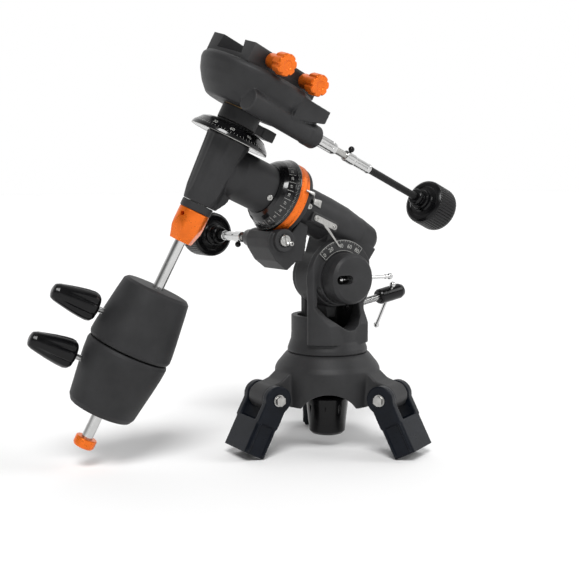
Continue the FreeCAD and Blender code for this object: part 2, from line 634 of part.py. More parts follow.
# ---- the assembly -------------------------------------------------------------------------------
def parts():
    """Every node with its solids, in the row frame."""
    legs = [leg_frame(azimuth) for azimuth in LEG_AZIMUTHS]
    hinge_turn = FreeCAD.Rotation(V(0, 0, 1), V(0, 1, 0))
    bolts = [put(put(leg_bolt(), FreeCAD.Placement(V(), hinge_turn)), leg) for leg in legs]
    nodes = {
        "tripod_head": tripod_head(),
        "leg_hinge_bolts": bolts,
        "azimuth_lock_knob": azimuth_knob(),
        "yoke": yoke(),
        "latitude_scale": put(latitude_scale(), PIVOT),
        "altitude_pivot_bolt": put(pivot_bolt(), PIVOT),
        "altitude_pivot_nut": put(pivot_nut(), PIVOT),
        "altitude_lock_cap": put(lock_cap(), PIVOT),
        "altitude_lock_lever": put(lock_lever(), PIVOT),
        "altitude_screw": put(altitude_screw(), SCREW),
        "altitude_tommy_bar": put(put(tommy_bar(), TOMMY), SCREW),
        "ra_housing": ra_housing(),
        "ra_bushes": [put(bush, RA0) for bush in ra_bushes()],
        "gear_band": put(gear_band(), RA0),
        "latitude_pointer": put(latitude_pointer(), RA0),
        "ra_pointer": put(ra_pointer(), RA0),
        "housing_screws": [put(screw, RA0) for screw in housing_screws()],
        "ra_worm_wheel": put(worm_wheel(64.2, 73.4, POLAR_SHAFT_R + RUN), RA0),
        "ra_worm": put(worm(-24, RA_COUPLING + WORM_IN_COUPLING), RA_WORM),
        "ra_worm_plug": put(ra_worm_plug(), RA_WORM),
        "ra_worm_cover": put(ra_worm_cover(), RA_WORM),
        "ra_coupling": put(coupling(RA_COUPLING), RA_WORM),
        "ra_pinch_screw": put(pinch_screw(RA_COUPLING), RA_WORM),
        "ra_control_shaft": put(slow_shaft(RA_COUPLING, RA_KNOB + SHAFT_IN_KNOB), RA_WORM),
        "ra_control_knob": put(slow_knob(RA_KNOB), RA_WORM),
        "dec_housing": dec_housing(),
        "dec_bushes": [put(bush, DEC0) for bush in dec_bushes()],
        "polar_shaft": put(polar_shaft(), RA),
        "polar_shaft_nut": put(polar_nut(), RA),
        "ra_clutch_screw": put(clutch_screw(), RA),
        "ra_setting_circle": put(ra_circle(), RA),
        "dec_setting_circle": put(dec_circle(), DEC0),
        "dec_clamp_ring": put(dec_clamp_ring(), DEC),
        "dec_worm_wheel": put(dec_worm_wheel(), DEC),
        "dec_head": put(dec_head(), DEC),
        "dec_shaft": put(dec_shaft(), DEC),
        "dec_worm": put(worm(-26, DEC_COUPLING + WORM_IN_COUPLING), DEC_WORM),
        "dec_worm_bush": put(dec_worm_bush(), DEC_WORM),
        "dec_coupling": put(coupling(DEC_COUPLING), DEC_WORM),
        "dec_pinch_screw": put(turned_about_z(pinch_screw(DEC_COUPLING), -90), DEC_WORM),
        "dec_control_shaft": put(slow_shaft(DEC_COUPLING, DEC_KNOB + SHAFT_IN_KNOB), DEC_WORM),
        "dec_control_knob": put(slow_knob(DEC_KNOB), DEC_WORM),
        "saddle": put(saddle(), DEC),
        "saddle_screws": [put(screw, DEC) for screw in saddle_screws()],
        "saddle_clamp_front": put(saddle_clamp(-SADDLE_CLAMP_X), DEC),
        "saddle_clamp_rear": put(saddle_clamp(SADDLE_CLAMP_X), DEC),
        "bar_lock_ring": put(lock_ring(), DEC),
        "bar_collar": put(bar_collar(), DEC),
        "counterweight_bar": put(counterweight_bar(), DEC),
        "bar_end_cap": put(end_cap(), DEC),
        "upper_weight": put(upper_weight(), WEIGHT),
        "upper_clamp_screw": put(clamp_screw(UPPER_SCREW_S), WEIGHT),
        "upper_clamp_knob": put(clamp_knob(UPPER_SCREW_S), WEIGHT),
        "lower_weight": put(lower_weight(), WEIGHT),
        "lower_clamp_screw": put(clamp_screw(LOWER_SCREW_S), WEIGHT),
        "lower_clamp_knob": put(clamp_knob(LOWER_SCREW_S), WEIGHT),
    }
    for number, leg in enumerate(legs, 1):
        nodes["leg_bracket_%d" % number] = put(leg_bracket(), leg)
    return nodes


def main():
    os.makedirs("parts", exist_ok=True)
    for name, shape in parts().items():
        solid = Part.makeCompound(shape) if isinstance(shape, list) else shape
        solid.exportStep(os.path.join("parts", name + ".step"))
        print("%-22s solids %d valid %s volume %.0f" % (name, len(solid.Solids), solid.isValid(),
                                                        solid.Volume))


main()
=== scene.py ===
"""Looks of the manual equatorial mount head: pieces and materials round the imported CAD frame."""

import json
import math

import bmesh
import bpy
from mathutils import Matrix, Vector


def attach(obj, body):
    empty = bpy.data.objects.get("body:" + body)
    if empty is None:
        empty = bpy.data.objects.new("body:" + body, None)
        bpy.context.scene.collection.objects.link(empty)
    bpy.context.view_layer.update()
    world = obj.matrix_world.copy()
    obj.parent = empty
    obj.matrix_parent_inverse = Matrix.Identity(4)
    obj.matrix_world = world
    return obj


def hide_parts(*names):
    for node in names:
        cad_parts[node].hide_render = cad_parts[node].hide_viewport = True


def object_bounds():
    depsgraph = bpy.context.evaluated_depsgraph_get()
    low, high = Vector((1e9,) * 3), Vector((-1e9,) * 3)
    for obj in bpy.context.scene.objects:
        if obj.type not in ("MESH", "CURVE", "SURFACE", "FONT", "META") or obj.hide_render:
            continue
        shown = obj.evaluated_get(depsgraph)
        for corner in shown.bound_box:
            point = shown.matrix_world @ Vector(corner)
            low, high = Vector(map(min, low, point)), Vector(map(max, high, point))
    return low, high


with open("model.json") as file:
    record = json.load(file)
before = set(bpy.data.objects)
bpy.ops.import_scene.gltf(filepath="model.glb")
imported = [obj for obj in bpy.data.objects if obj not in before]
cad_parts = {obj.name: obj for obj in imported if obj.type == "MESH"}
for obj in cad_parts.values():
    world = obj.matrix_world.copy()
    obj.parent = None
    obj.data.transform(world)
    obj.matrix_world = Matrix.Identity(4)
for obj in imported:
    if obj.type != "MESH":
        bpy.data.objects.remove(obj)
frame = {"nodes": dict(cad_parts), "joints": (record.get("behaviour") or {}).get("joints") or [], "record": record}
CAD_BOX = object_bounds()
MM = 0.001
UPPER_S, LOWER_S = -187.0, -241.0           # clamp knobs along the Dec axis, mm
RA_COUPLING, DEC_COUPLING = 56.0, 114.0     # start of each coupling along its worm's axis
RA_KNOB, DEC_KNOB = 104.0, 238.0            # start of each hand knob along its worm's axis
COUPLING_LENGTH, SHAFT_IN_KNOB = 40, 14
LEVER_Z = 42.5                              # lock lever, out from the azimuth axis
VIEW_YAW = math.radians(34.97)              # heading of the camera from +Y
JOINTS = {joint["name"]: joint for joint in frame["joints"]}


# ---- local frames, from the joints ---------------------------------------------------------------
def axes(origin, z, x):
    """A frame with its z along one direction and its x near another."""
    z = z.normalized()
    x = (x - z * x.dot(z)).normalized()
    y = z.cross(x)
    return Matrix(((x.x, y.x, z.x, origin.x), (x.y, y.y, z.y, origin.y),
                   (x.z, y.z, z.z, origin.z), (0, 0, 0, 1)))


def axis_of(joint):
    return Vector(JOINTS[joint]["axis"])


def point_of(joint):
    return Vector(JOINTS[joint]["pos_m"])


def crossing(point_a, axis_a, point_b, axis_b):
    """The point of the second line that is nearest to the first."""
    normal = axis_a.cross(axis_b.cross(axis_a))
    return point_b + axis_b * ((point_a - point_b).dot(normal) / axis_b.dot(normal))


POLAR, DEC_AXIS = axis_of("ra_drive"), axis_of("dec_drive")
DEC_ORIGIN = crossing(point_of("ra_drive"), POLAR, point_of("dec_drive"), DEC_AXIS)
UP = Vector((0, 0, 1))
Z_TO_X = Matrix.Rotation(math.pi / 2, 4, "Y")
Z_TO_NEAR = Matrix.Rotation(math.pi / 2, 4, "X")
OVER = Matrix.Rotation(math.pi, 4, "X")
BASE = Matrix.Identity(4)
RA0 = axes(point_of("ra_drive"), POLAR, UP)
RA = axes(point_of("ra_drive"), POLAR, DEC_AXIS)
DEC0 = axes(DEC_ORIGIN, DEC_AXIS, -POLAR)
DEC = axes(DEC_ORIGIN, DEC_AXIS, axis_of("dec_worm_turn"))
WEIGHT = axes(DEC_ORIGIN, DEC_AXIS, -axis_of("upper_clamp_turn"))
PIVOT = axes(Vector((0, 0, point_of("altitude").z)), Vector((0, -1, 0)), Vector((1, 0, 0)))
SCREW = axes(point_of("altitude_screw_turn"), axis_of("altitude_screw_turn"), Vector((0, -1, 0)))
RA_WORM = axes(point_of("ra_worm_turn"), axis_of("ra_worm_turn"), UP - POLAR * UP.dot(POLAR))
DEC_WORM = axes(point_of("dec_worm_turn"), axis_of("dec_worm_turn"),
                DEC_AXIS.cross(axis_of("dec_worm_turn")))


def clamp_frame(s):
    """Frame of a weight's clamp knob: z out along its screw."""
    return axes(WEIGHT @ Vector((0, 0, s * MM)), axis_of("upper_clamp_turn"), DEC_AXIS)


# ---- materials -----------------------------------------------------------------------------------
class Shader:
    """A principled material with helpers for procedural detail in object space."""

    def __init__(self, name, color, roughness, metallic=0.0, **inputs):
        self.material = bpy.data.materials.new(name)
        self.material.use_nodes = True
        self.nodes = self.material.node_tree.nodes
        self.links = self.material.node_tree.links
        self.principled = self.nodes["Principled BSDF"]
        self.place = self.nodes.new("ShaderNodeTexCoord").outputs["Object"]
        self.color = color
        self.set("Base Color", (*color, 1))
        self.set("Roughness", roughness)
        self.set("Metallic", metallic)
        for key, value in inputs.items():
            self.set(key.replace("_", " "), value)
        self.bump = None

    def set(self, socket, value):
        self.principled.inputs[socket].default_value = value

    def noise(self, scale, detail=4.0, stretch=(1, 1, 1)):
        """Noise of about `scale` cells to the metre, stretched along the axes."""
        mapping = self.nodes.new("ShaderNodeMapping")
        mapping.inputs["Scale"].default_value = stretch
        self.links.new(self.place, mapping.inputs["Vector"])
        noise = self.nodes.new("ShaderNodeTexNoise")
        noise.inputs["Scale"].default_value = scale
        noise.inputs["Detail"].default_value = detail
        self.links.new(mapping.outputs["Vector"], noise.inputs["Vector"])
        return noise.outputs["Fac"]

    def ramp(self, source, low, high):
        """Maps a factor from 0.3..0.7 to low..high, numbers or colours."""
        ramp = self.nodes.new("ShaderNodeValToRGB")
        ends = ramp.color_ramp.elements
        ends[0].position, ends[1].position = 0.3, 0.7
        for end, value in zip(ends, (low, high)):
            end.color = (*value, 1) if isinstance(value, tuple) else (value, value, value, 1)
        self.links.new(source, ramp.inputs["Fac"])
        return ramp.outputs["Color"]

    def shades(self, source, low, high):
        """The material's colour, from low to high times itself."""
        dark = tuple(c * low for c in self.color)
        light = tuple(min(1.0, c * high) for c in self.color)
        return self.ramp(source, dark, light)

    def vary_color(self, source, low, high):
        self.links.new(self.shades(source, low, high), self.principled.inputs["Base Color"])

    def wear(self, source, low, high, worn, amount=1.0):
        """Varied colour, with the sharp edges rubbed lighter."""
        edge = self.nodes.new("ShaderNodeNewGeometry").outputs["Pointiness"]
        mask = self.nodes.new("ShaderNodeMapRange")
        mask.inputs["From Min"].default_value = 0.515
        mask.inputs["From Max"].default_value = 0.60
        mask.inputs["To Max"].default_value = amount
        self.links.new(edge, mask.inputs["Value"])
        mix = self.nodes.new("ShaderNodeMix")
        mix.data_type = "RGBA"
        self.links.new(mask.outputs["Result"], mix.inputs["Factor"])
        self.links.new(self.shades(source, low, high), mix.inputs["A"])
        mix.inputs["B"].default_value = (*worn, 1)
        self.links.new(mix.outputs["Result"], self.principled.inputs["Base Color"])

    def vary_roughness(self, source, low, high):
        self.links.new(self.ramp(source, low, high), self.principled.inputs["Roughness"])

    def add_bump(self, source, height_mm, strength=1.0):
        bump = self.nodes.new("ShaderNodeBump")
        bump.inputs["Strength"].default_value = strength
        bump.inputs["Distance"].default_value = height_mm * MM
        self.links.new(source, bump.inputs["Height"])
        if self.bump:
            self.links.new(self.bump.outputs["Normal"], bump.inputs["Normal"])
        self.links.new(bump.outputs["Normal"], self.principled.inputs["Normal"])
        self.bump = bump


def cast_paint():
    """Satin dark grey paint on die castings: fine speckle, faint blotches, rubbed edges."""
    paint = Shader("cast_grey_paint", (0.021, 0.021, 0.022), 0.5, Specular_IOR_Level=0.30)
    blotch, speckle = paint.noise(38, 3), paint.noise(1500, 2)
    paint.wear(blotch, 0.80, 1.22, (0.055, 0.055, 0.055), 0.6)
    paint.vary_roughness(speckle, 0.43, 0.60)
    paint.add_bump(speckle, 0.10, 0.42)
    paint.add_bump(paint.noise(260, 3), 0.12, 0.18)
    return paint.material


def weight_paint():
    """Wrinkle paint of the counterweights, a little rougher and darker."""
    paint = Shader("weight_wrinkle_paint", (0.019, 0.019, 0.020), 0.55, Specular_IOR_Level=0.28)
    grain = paint.noise(2100, 3)
    paint.wear(paint.noise(45, 4), 0.80, 1.2, (0.05, 0.05, 0.05), 0.6)
    paint.vary_roughness(grain, 0.48, 0.66)
    paint.add_bump(grain, 0.12, 0.55)
    return paint.material


def navy_moulding():
    """Glass-filled plastic of the leg brackets, nearly black with a blue cast."""
    plastic = Shader("navy_moulding", (0.0038, 0.0052, 0.0085), 0.34, Specular_IOR_Level=0.15)
    plastic.wear(plastic.noise(60, 4), 0.8, 1.25, (0.010, 0.013, 0.018), 0.6)
    plastic.vary_roughness(plastic.noise(300, 3), 0.27, 0.40)
    plastic.add_bump(plastic.noise(1400, 2), 0.03, 0.2)
    return plastic.material


def black_moulding():
    """Glossy black plastic of knobs and caps."""
    plastic = Shader("black_moulding", (0.0030, 0.0030, 0.0034), 0.22, Specular_IOR_Level=0.24)
    plastic.vary_color(plastic.noise(90, 3), 0.8, 1.3)
    plastic.vary_roughness(plastic.noise(160, 4), 0.17, 0.27)
    plastic.add_bump(plastic.noise(120, 2), 0.02, 0.12)
    return plastic.material


def black_sleeve():
    """Soft black sleeve of the control shafts."""
    rubber = Shader("black_sleeve_rubber", (0.004, 0.004, 0.004), 0.45, Specular_IOR_Level=0.22)
    rubber.vary_color(rubber.noise(120, 4), 0.7, 1.35)
    rubber.vary_roughness(rubber.noise(800, 3), 0.36, 0.55)
    rubber.add_bump(rubber.noise(1900, 2), 0.04, 0.35)
    return rubber.material


def dial_gloss():
    """Polished black enamel of the setting circles."""
    enamel = Shader("dial_black_enamel", (0.004, 0.004, 0.0045), 0.20, Specular_IOR_Level=0.38,
                    Coat_Weight=0.25, Coat_Roughness=0.10)
    enamel.vary_color(enamel.noise(70, 4), 0.8, 1.3)
    enamel.vary_roughness(enamel.noise(300, 4), 0.11, 0.24)
    enamel.add_bump(enamel.noise(160, 2), 0.02, 0.2)
    return enamel.material


def dial_ink():
    """White ink of graduations and numbers."""
    ink = Shader("graduation_ink", (0.42, 0.42, 0.40), 0.5)
    ink.vary_color(ink.noise(900, 4), 0.75, 1.15)
    ink.vary_roughness(ink.noise(700, 3), 0.42, 0.62)
    return ink.material


def anodised():
    """Orange anodised aluminium with a fine satin grain."""
    metal = Shader("orange_anodised", (0.80, 0.155, 0.010), 0.30, 0.6, Specular_IOR_Level=0.5)
    grain = metal.noise(260, 3)
    metal.vary_color(metal.noise(80, 3), 0.9, 1.1)
    metal.vary_roughness(grain, 0.25, 0.37)
    metal.add_bump(grain, 0.003, 0.06)
    return metal.material


def chromed():
    """Bright nickel-chrome plate with slight smudges."""
    metal = Shader("bright_plate", (0.60, 0.60, 0.595), 0.14, 1.0)
    metal.vary_color(metal.noise(70, 4), 0.88, 1.06)
    metal.vary_roughness(metal.noise(240, 5), 0.08, 0.22)
    metal.add_bump(metal.noise(60, 2, (1, 1, 0.05)), 0.01, 0.15)
    return metal.material


def brushed_steel():
    """Brushed steel of plates, washers and screws."""
    metal = Shader("brushed_steel", (0.45, 0.445, 0.43), 0.3, 1.0)
    grain = metal.noise(900, 3, (1, 0.06, 0.06))
    metal.vary_color(metal.noise(160, 4), 0.85, 1.08)
    metal.vary_roughness(grain, 0.22, 0.42)
    metal.add_bump(grain, 0.01, 0.4)
    return metal.material


def wheel_bronze():
    """Bronze of the worm wheels and bushes."""
    metal = Shader("wheel_bronze", (0.42, 0.27, 0.12), 0.35, 1.0)
    metal.vary_color(metal.noise(110, 4), 0.75, 1.1)
    metal.vary_roughness(metal.noise(500, 3), 0.28, 0.48)
    metal.add_bump(metal.noise(900, 2), 0.02, 0.3)
    return metal.material


def dark_pad():
    """Darker recessed paint of the pad behind the latitude plate."""
    paint = Shader("pad_black_paint", (0.010, 0.010, 0.0105), 0.42)
    paint.vary_color(paint.noise(80, 4), 0.8, 1.3)
    paint.vary_roughness(paint.noise(900, 2), 0.34, 0.5)
    paint.add_bump(paint.noise(1500, 2), 0.04, 0.3)
    return paint.material


PAINT = {"cast_grey": cast_paint(), "weight_grey": weight_paint(), "navy_plastic": navy_moulding(),
         "black_plastic": black_moulding(), "black_rubber": black_sleeve(), "dial_black": dial_gloss(),
         "scale_plate": dark_pad(), "orange_anodised": anodised(), "chrome": chromed(),
         "steel": brushed_steel(), "bronze": wheel_bronze()}
INK = dial_ink()
SLOT_OF = {part["node"]: part["material_slot"] for part in frame["record"]["subparts"]}


# ---- mesh helpers --------------------------------------------------------------------------------
def link(thing):
    bpy.context.scene.collection.objects.link(thing)


def rounded(points, radius, steps=4):
    """The corners of an open outline (r, z), each but the first and last replaced by an arc."""
    out = [points[0]]
    for before, corner, after in zip(points, points[1:], points[2:]):
        a, b, c = Vector(before), Vector(corner), Vector(after)
        u, v = (a - b), (c - b)
        half = u.angle(v) / 2
        if half < 0.02 or half > math.pi / 2 - 0.06:
            out.append(corner)
            continue
        run = min(radius / math.tan(half), 0.45 * u.length, 0.45 * v.length)
        start, end = b + u.normalized() * run, b + v.normalized() * run
        for i in range(steps + 1):
            t = i / steps
            out.append(tuple(start.lerp(b, t).lerp(b.lerp(end, t), t)))
    out.append(points[-1])
    return out


def shade(mesh, angle=40):
    """Smooth faces, with the sharp edges kept."""
    for polygon in mesh.polygons:
        polygon.use_smooth = True
    mesh.set_sharp_from_angle(angle=math.radians(angle))


def from_bmesh(name, bm, place=BASE, material=None, angle=40):
    """A new object from a bmesh in millimetres and in a local frame."""
    bmesh.ops.remove_doubles(bm, verts=bm.verts, dist=1e-4)
    bmesh.ops.recalc_face_normals(bm, faces=bm.faces)
    for vert in bm.verts:
        vert.co *= MM
    mesh = bpy.data.meshes.new(name)
    bm.to_mesh(mesh)
    bm.free()
    mesh.transform(place)
    shade(mesh, angle)
    piece = bpy.data.objects.new(name, mesh)
    link(piece)
    if material:
        mesh.materials.append(material)
    return piece


def lathe_bmesh(outline, segments=96, shape=None, closed=False):
    """A turned solid from (r, z) points; shape(r, z, angle) may change the radius."""
    bm = bmesh.new()
    rings = []
    for r, z in outline:
        if r < 1e-6:
            rings.append([bm.verts.new((0, 0, z))])
            continue
        ring = []
        for j in range(segments):
            a = 2 * math.pi * j / segments
            radius = shape(r, z, a) if shape else r
            ring.append(bm.verts.new((radius * math.cos(a), radius * math.sin(a), z)))
        rings.append(ring)
    pairs = list(zip(rings, rings[1:]))
    if closed:
        pairs.append((rings[-1], rings[0]))
    for low, high in pairs:
        for j in range(segments):
            k = (j + 1) % segments
            if len(low) == 1 and len(high) == 1:
                continue
            if len(low) == 1:
                bm.faces.new((low[0], high[j], high[k]))
            elif len(high) == 1:
                bm.faces.new((low[j], low[k], high[0]))
            else:
                bm.faces.new((low[j], low[k], high[k], high[j]))
    return bm


def lathe(name, outline, place, material=None, segments=96, shape=None, closed=False, angle=40):
    return from_bmesh(name, lathe_bmesh(outline, segments, shape, closed), place, material, angle)


def prism_bmesh(points, low, high, axis="z"):
    """A prism from outline corners; axis "z" takes (x, y), axis "y" takes (x, z)."""
    bm = bmesh.new()
    lift = (lambda x, y, h: (x, y, h)) if axis == "z" else (lambda x, z, h: (x, h, z))
    bottom = [bm.verts.new(lift(x, y, low)) for x, y in points]
    top = [bm.verts.new(lift(x, y, high)) for x, y in points]
    count = len(points)
    bm.faces.new(bottom)
    bm.faces.new(top[::-1])
    for i in range(count):
        k = (i + 1) % count
        bm.faces.new((bottom[k], bottom[i], top[i], top[k]))
    return bm


def prism(name, points, low, high, place, material=None, axis="z"):
    return from_bmesh(name, prism_bmesh(points, low, high, axis), place, material, 30)


def cut_up(outline, step):
    """A closed outline with more points along z, for shapes that vary there."""
    fine = []
    for (r, z), (r2, z2) in zip(outline, outline[1:] + outline[:1]):
        count = max(1, int(abs(z2 - z) / step))
        fine += [(r + (r2 - r) * i / count, z + (z2 - z) * i / count) for i in range(count)]
    return fine


def copy_of(node, name):
    """A new object with a CAD node's mesh, its split vertices joined."""
    bm = bmesh.new()
    bm.from_mesh(frame["nodes"][node].data)
    bmesh.ops.remove_doubles(bm, verts=bm.verts, dist=2e-6)
    bmesh.ops.dissolve_limit(bm, angle_limit=math.radians(0.5), verts=bm.verts, edges=bm.edges)
    bmesh.ops.recalc_face_normals(bm, faces=bm.faces)
    mesh = bpy.data.meshes.new(name)
    bm.to_mesh(mesh)
    bm.free()
    piece = bpy.data.objects.new(name, mesh)
    link(piece)
    return piece


def apply_all(piece):
    """Puts the piece's modifiers into its mesh."""
    graph = bpy.context.evaluated_depsgraph_get()
    mesh = bpy.data.meshes.new_from_object(piece.evaluated_get(graph))
    piece.modifiers.clear()
    piece.data = mesh
    return piece


def join(piece, *others):
    """One mesh from several objects."""
    bm = bmesh.new()
    bm.from_mesh(piece.data)
    for other in others:
        bm.from_mesh(other.data)
        bpy.data.objects.remove(other)
    bm.to_mesh(piece.data)
    bm.free()
    return piece


def boolean(piece, cutter, operation="DIFFERENCE", angle=30):
    """Cuts a piece that has no finish yet, and shades it again."""
    cut = piece.modifiers.new("cut", "BOOLEAN")
    cut.operation = operation
    cut.object = cutter
    cut.solver = "EXACT"
    apply_all(piece)
    bpy.data.objects.remove(cutter)
    piece.data.materials.clear()
    shade(piece.data, angle)


def melt(piece, voxel_mm, smooth, material):
    """Fuses overlapping solids into one casting with soft edges."""
    remesh = piece.modifiers.new("fuse", "REMESH")
    remesh.mode = "VOXEL"
    remesh.voxel_size = voxel_mm * MM
    remesh.use_smooth_shade = True
    soft = piece.modifiers.new("soften", "SMOOTH")
    soft.factor = 0.5
    soft.iterations = smooth
    apply_all(piece)
    piece.data.materials.clear()
    piece.data.materials.append(material)
    for polygon in piece.data.polygons:
        polygon.use_smooth = True
    return piece


def bevelled(node, name, width_mm, segments=3, angle=35):
    """A CAD node's copy with its sharp edges rounded."""
    piece = copy_of(node, name)
    bevel = piece.modifiers.new("bevel", "BEVEL")
    bevel.width = width_mm * MM
    bevel.segments = segments
    bevel.limit_method = "ANGLE"
    bevel.angle_limit = math.radians(angle)
    bevel.use_clamp_overlap = True
    apply_all(piece)
    shade(piece.data)
    return piece


def finish_piece(piece, body, slot, *nodes, material=None):
    """Gives a piece its finish, its body and the CAD nodes that it stands for."""
    if not piece.data.materials:
        piece.data.materials.append(material or PAINT[slot])
    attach(piece, body)
    if nodes:
        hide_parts(*nodes)
    return piece


def paint_cad_nodes():
    """Every CAD node's own mesh gets the procedural finish of its slot."""
    for node, piece in frame["nodes"].items():
        piece.data.materials.clear()
        piece.data.materials.append(PAINT[SLOT_OF[node]])
        shade(piece.data, 35)


# ---- numbers and graduations ---------------------------------------------------------------------
def number(text, height_mm, place, name):
    """A number as a thin solid, centred on the place's origin, facing its z."""
    curve = bpy.data.curves.new(name, "FONT")
    curve.body = text
    curve.align_x, curve.align_y = "CENTER", "CENTER"
    curve.size = height_mm * 1.35 * MM
    curve.extrude = 0.06 * MM
    curve.resolution_u = 3
    holder = bpy.data.objects.new(name, curve)
    link(holder)
    graph = bpy.context.evaluated_depsgraph_get()
    mesh = bpy.data.meshes.new_from_object(holder.evaluated_get(graph))
    bpy.data.objects.remove(holder)
    mesh.transform(place)
    return bpy.data.objects.new(name, mesh)


def bar_mark(bm, place, width, length, height=0.12):
    """A thin rectangular mark, centred on the place's origin, its length along the place's y."""
    made = bmesh.ops.create_cube(bm, size=1)["verts"]
    for vert in made:
        vert.co = place @ Vector((vert.co.x * width, vert.co.y * length, vert.co.z * height))


def cone_place(low, high, t, angle):
    """A place on a cone between two (r, z) points: x round it, y up the slope, z outwards."""
    r = low[0] + (high[0] - low[0]) * t
    z = low[1] + (high[1] - low[1]) * t
    slope = Vector((high[0] - low[0], 0, high[1] - low[1])).normalized()
    out = Vector((slope.z, 0, -slope.x))
    turn = Matrix.Rotation(angle, 4, "Z")
    x, y, n = Vector((0, 1, 0)), slope, out
    local = Matrix(((x.x, y.x, n.x, r), (x.y, y.y, n.y, 0), (x.z, y.z, n.z, z), (0, 0, 0, 1)))
    return turn @ local


# ---- castings ------------------------------------------------------------------------------------
def softened_casting(node, body, voxel_mm, smooth, *extra):
    """The CAD casting with soft edges, fused with its extra bosses and ribs."""
    piece = copy_of(node, node + "_casting")
    join(piece, *extra)
    melt(piece, voxel_mm, smooth, PAINT[SLOT_OF[node]])
    return finish_piece(piece, body, SLOT_OF[node], node)


LEGS = (1, 2, 3)
LEG_LEAN = math.radians(27)


def leg_axes(leg):
    """The frame of a leg: y along its hinge, z down the leg."""
    hinge = JOINTS["leg_fold_%d" % leg]
    out = Vector((hinge["pos_m"][0], hinge["pos_m"][1], 0)).normalized()
    down = out * math.sin(LEG_LEAN) - UP * math.cos(LEG_LEAN)
    return axes(Vector(hinge["pos_m"]), down, Vector(hinge["axis"]).cross(down))


def tripod_head():
    extra = []
    for leg in LEGS:
        hinge = point_of("leg_fold_%d" % leg)
        turn = Matrix.Rotation(math.atan2(hinge.y, hinge.x), 4, "Z")
        saddle = [(30, -8), (47, -9.5), (56, -18), (66, -25.5), (78, -30.5), (78, -36), (40, -36)]
        extra.append(prism("root", saddle, -14.5, 14.5, turn, axis="y"))
        flare = [(48, -24), (60, -14), (66, 0), (60, 14), (48, 24), (40, 24), (40, -24)]
        extra.append(prism("flare", flare, -50, -27, turn))
        boss = lathe_bmesh(rounded([(0, -17.1), (9.5, -17.1), (9.5, 17.1), (0, 17.1)], 0.6), 40)
        place = turn @ Matrix.Translation((78 * MM, 0, -45 * MM)) @ Z_TO_NEAR
        extra.append(from_bmesh("boss", boss, place))
    softened_casting("tripod_head", "tripod_head", 1.05, 9, *extra)


def yoke():
    rim = lathe("rim", [(40.5, 14.5), (42.2, 13.2), (43.4, 9.5), (45.2, 4.5), (45.2, 2.5), (40, 2.5)],
                BASE, closed=True)
    ring = lathe("ring", [(28.8, -27.0), (30.2, -27.8), (30.2, -18.5), (28.8, -18.5)],
                 PIVOT @ OVER, closed=True)
    softened_casting("yoke", "yoke", 0.95, 5, rim, ring)


def ra_housing():
    boss = lathe("boss", rounded([(9, -27.6), (12.4, -27.6), (12.4, -20), (9, -20)], 0.5), RA_WORM,
                 closed=True)
    rib = prism("rib", [(-52, 47), (-40, 47), (-40, 52), (-52, 52)], -22.6, 22.6, RA0, axis="y")
    cap = lathe("cap", rounded([(0, -66.2), (12.6, -66.2), (16.9, -61), (20.4, -40), (20.4, -38),
                                (0, -38)], 2.5), RA0, segments=80)
    softened_casting("ra_housing", "ra_housing", 0.95, 5, boss, rib, cap)


FACETS, RIDGE_AT = 8, math.radians(-111.5)


def faceted(r, z, angle):
    """Radius of the Dec housing's eight soft facets, cut off by a cone at the low end."""
    flat = 2 * math.pi / FACETS
    off = (angle - RIDGE_AT) % flat - flat / 2
    facet = r * 1.05 * math.cos(flat / 2) / math.cos(off)
    cone = 17.3 + (z + 44.4) * 0.19
    return min(facet, cone)


def dec_housing():
    steps = [(18.3 + (z + 44.0) * 0.0666, z) for z in range(-44, 28, 2)]
    outline = [(14.5, -44)] + steps + [(23.4, 28), (23.4, 29.6), (14.5, 29.6)]
    facets = lathe("facets", outline, DEC0, segments=192, shape=faceted, closed=True)
    lip_line = rounded([(20, 77), (26.6, 77), (27.4, 78.2), (27.4, 80), (26.4, 81.5), (20, 81.5)], 0.5)
    lip = lathe("lip", lip_line, RA, closed=True)
    softened_casting("dec_housing", "ra_axis", 0.85, 4, facets, lip)


def dec_head():
    collar = lathe("collar", rounded([(9, 50), (12.8, 50), (12.8, 64.5), (11, 66.5), (9, 66.5)], 1.2),
                   DEC_WORM, closed=True)
    web = prism("web", [(18, 74), (60, 86), (60, 100), (18, 100)], -60, -34, DEC, axis="y")
    softened_casting("dec_head", "dec_axis", 1.05, 7, collar, web)


def clamp_ring():
    pad = prism("pad", [(30, -9.8), (47, -9.8), (47, 9.8), (30, 9.8)], 47.0, 58.0, DEC)
    softened_casting("dec_clamp_ring", "dec_gear", 0.7, 3, pad)


def leg_bracket(leg):
    frame_of_leg = leg_axes(leg)
    extra = []
    for side in (-1, 1):
        rail_y = side * 25.4
        for edge in (-10, 10):
            rail = [(edge - 1.5, 8), (edge + 1.5, 8), (edge + 1.5, 62), (edge - 1.5, 62)]
            extra.append(prism("rail", rail, rail_y - 1.1, rail_y + 1.1, frame_of_leg, axis="y"))
        washer = lathe_bmesh([(4, side * 26.2 - 0.7), (9, side * 26.2 - 0.7), (9, side * 26.2 + 0.6),
                              (4, side * 26.2 + 0.6)], 40, closed=True)
        place = frame_of_leg @ Matrix.Rotation(-math.pi / 2, 4, "X")
        extra.append(from_bmesh("washer", washer, place))
    softened_casting("leg_bracket_%d" % leg, "leg_%d" % leg, 0.85, 9, *extra)


# ---- turned pieces -------------------------------------------------------------------------------
def counterweight(name, outline, body, node):
    weight = lathe(name, rounded(outline, 2.2, 6), WEIGHT, segments=160, closed=True, angle=60)
    finish_piece(weight, body, "weight_grey", node)


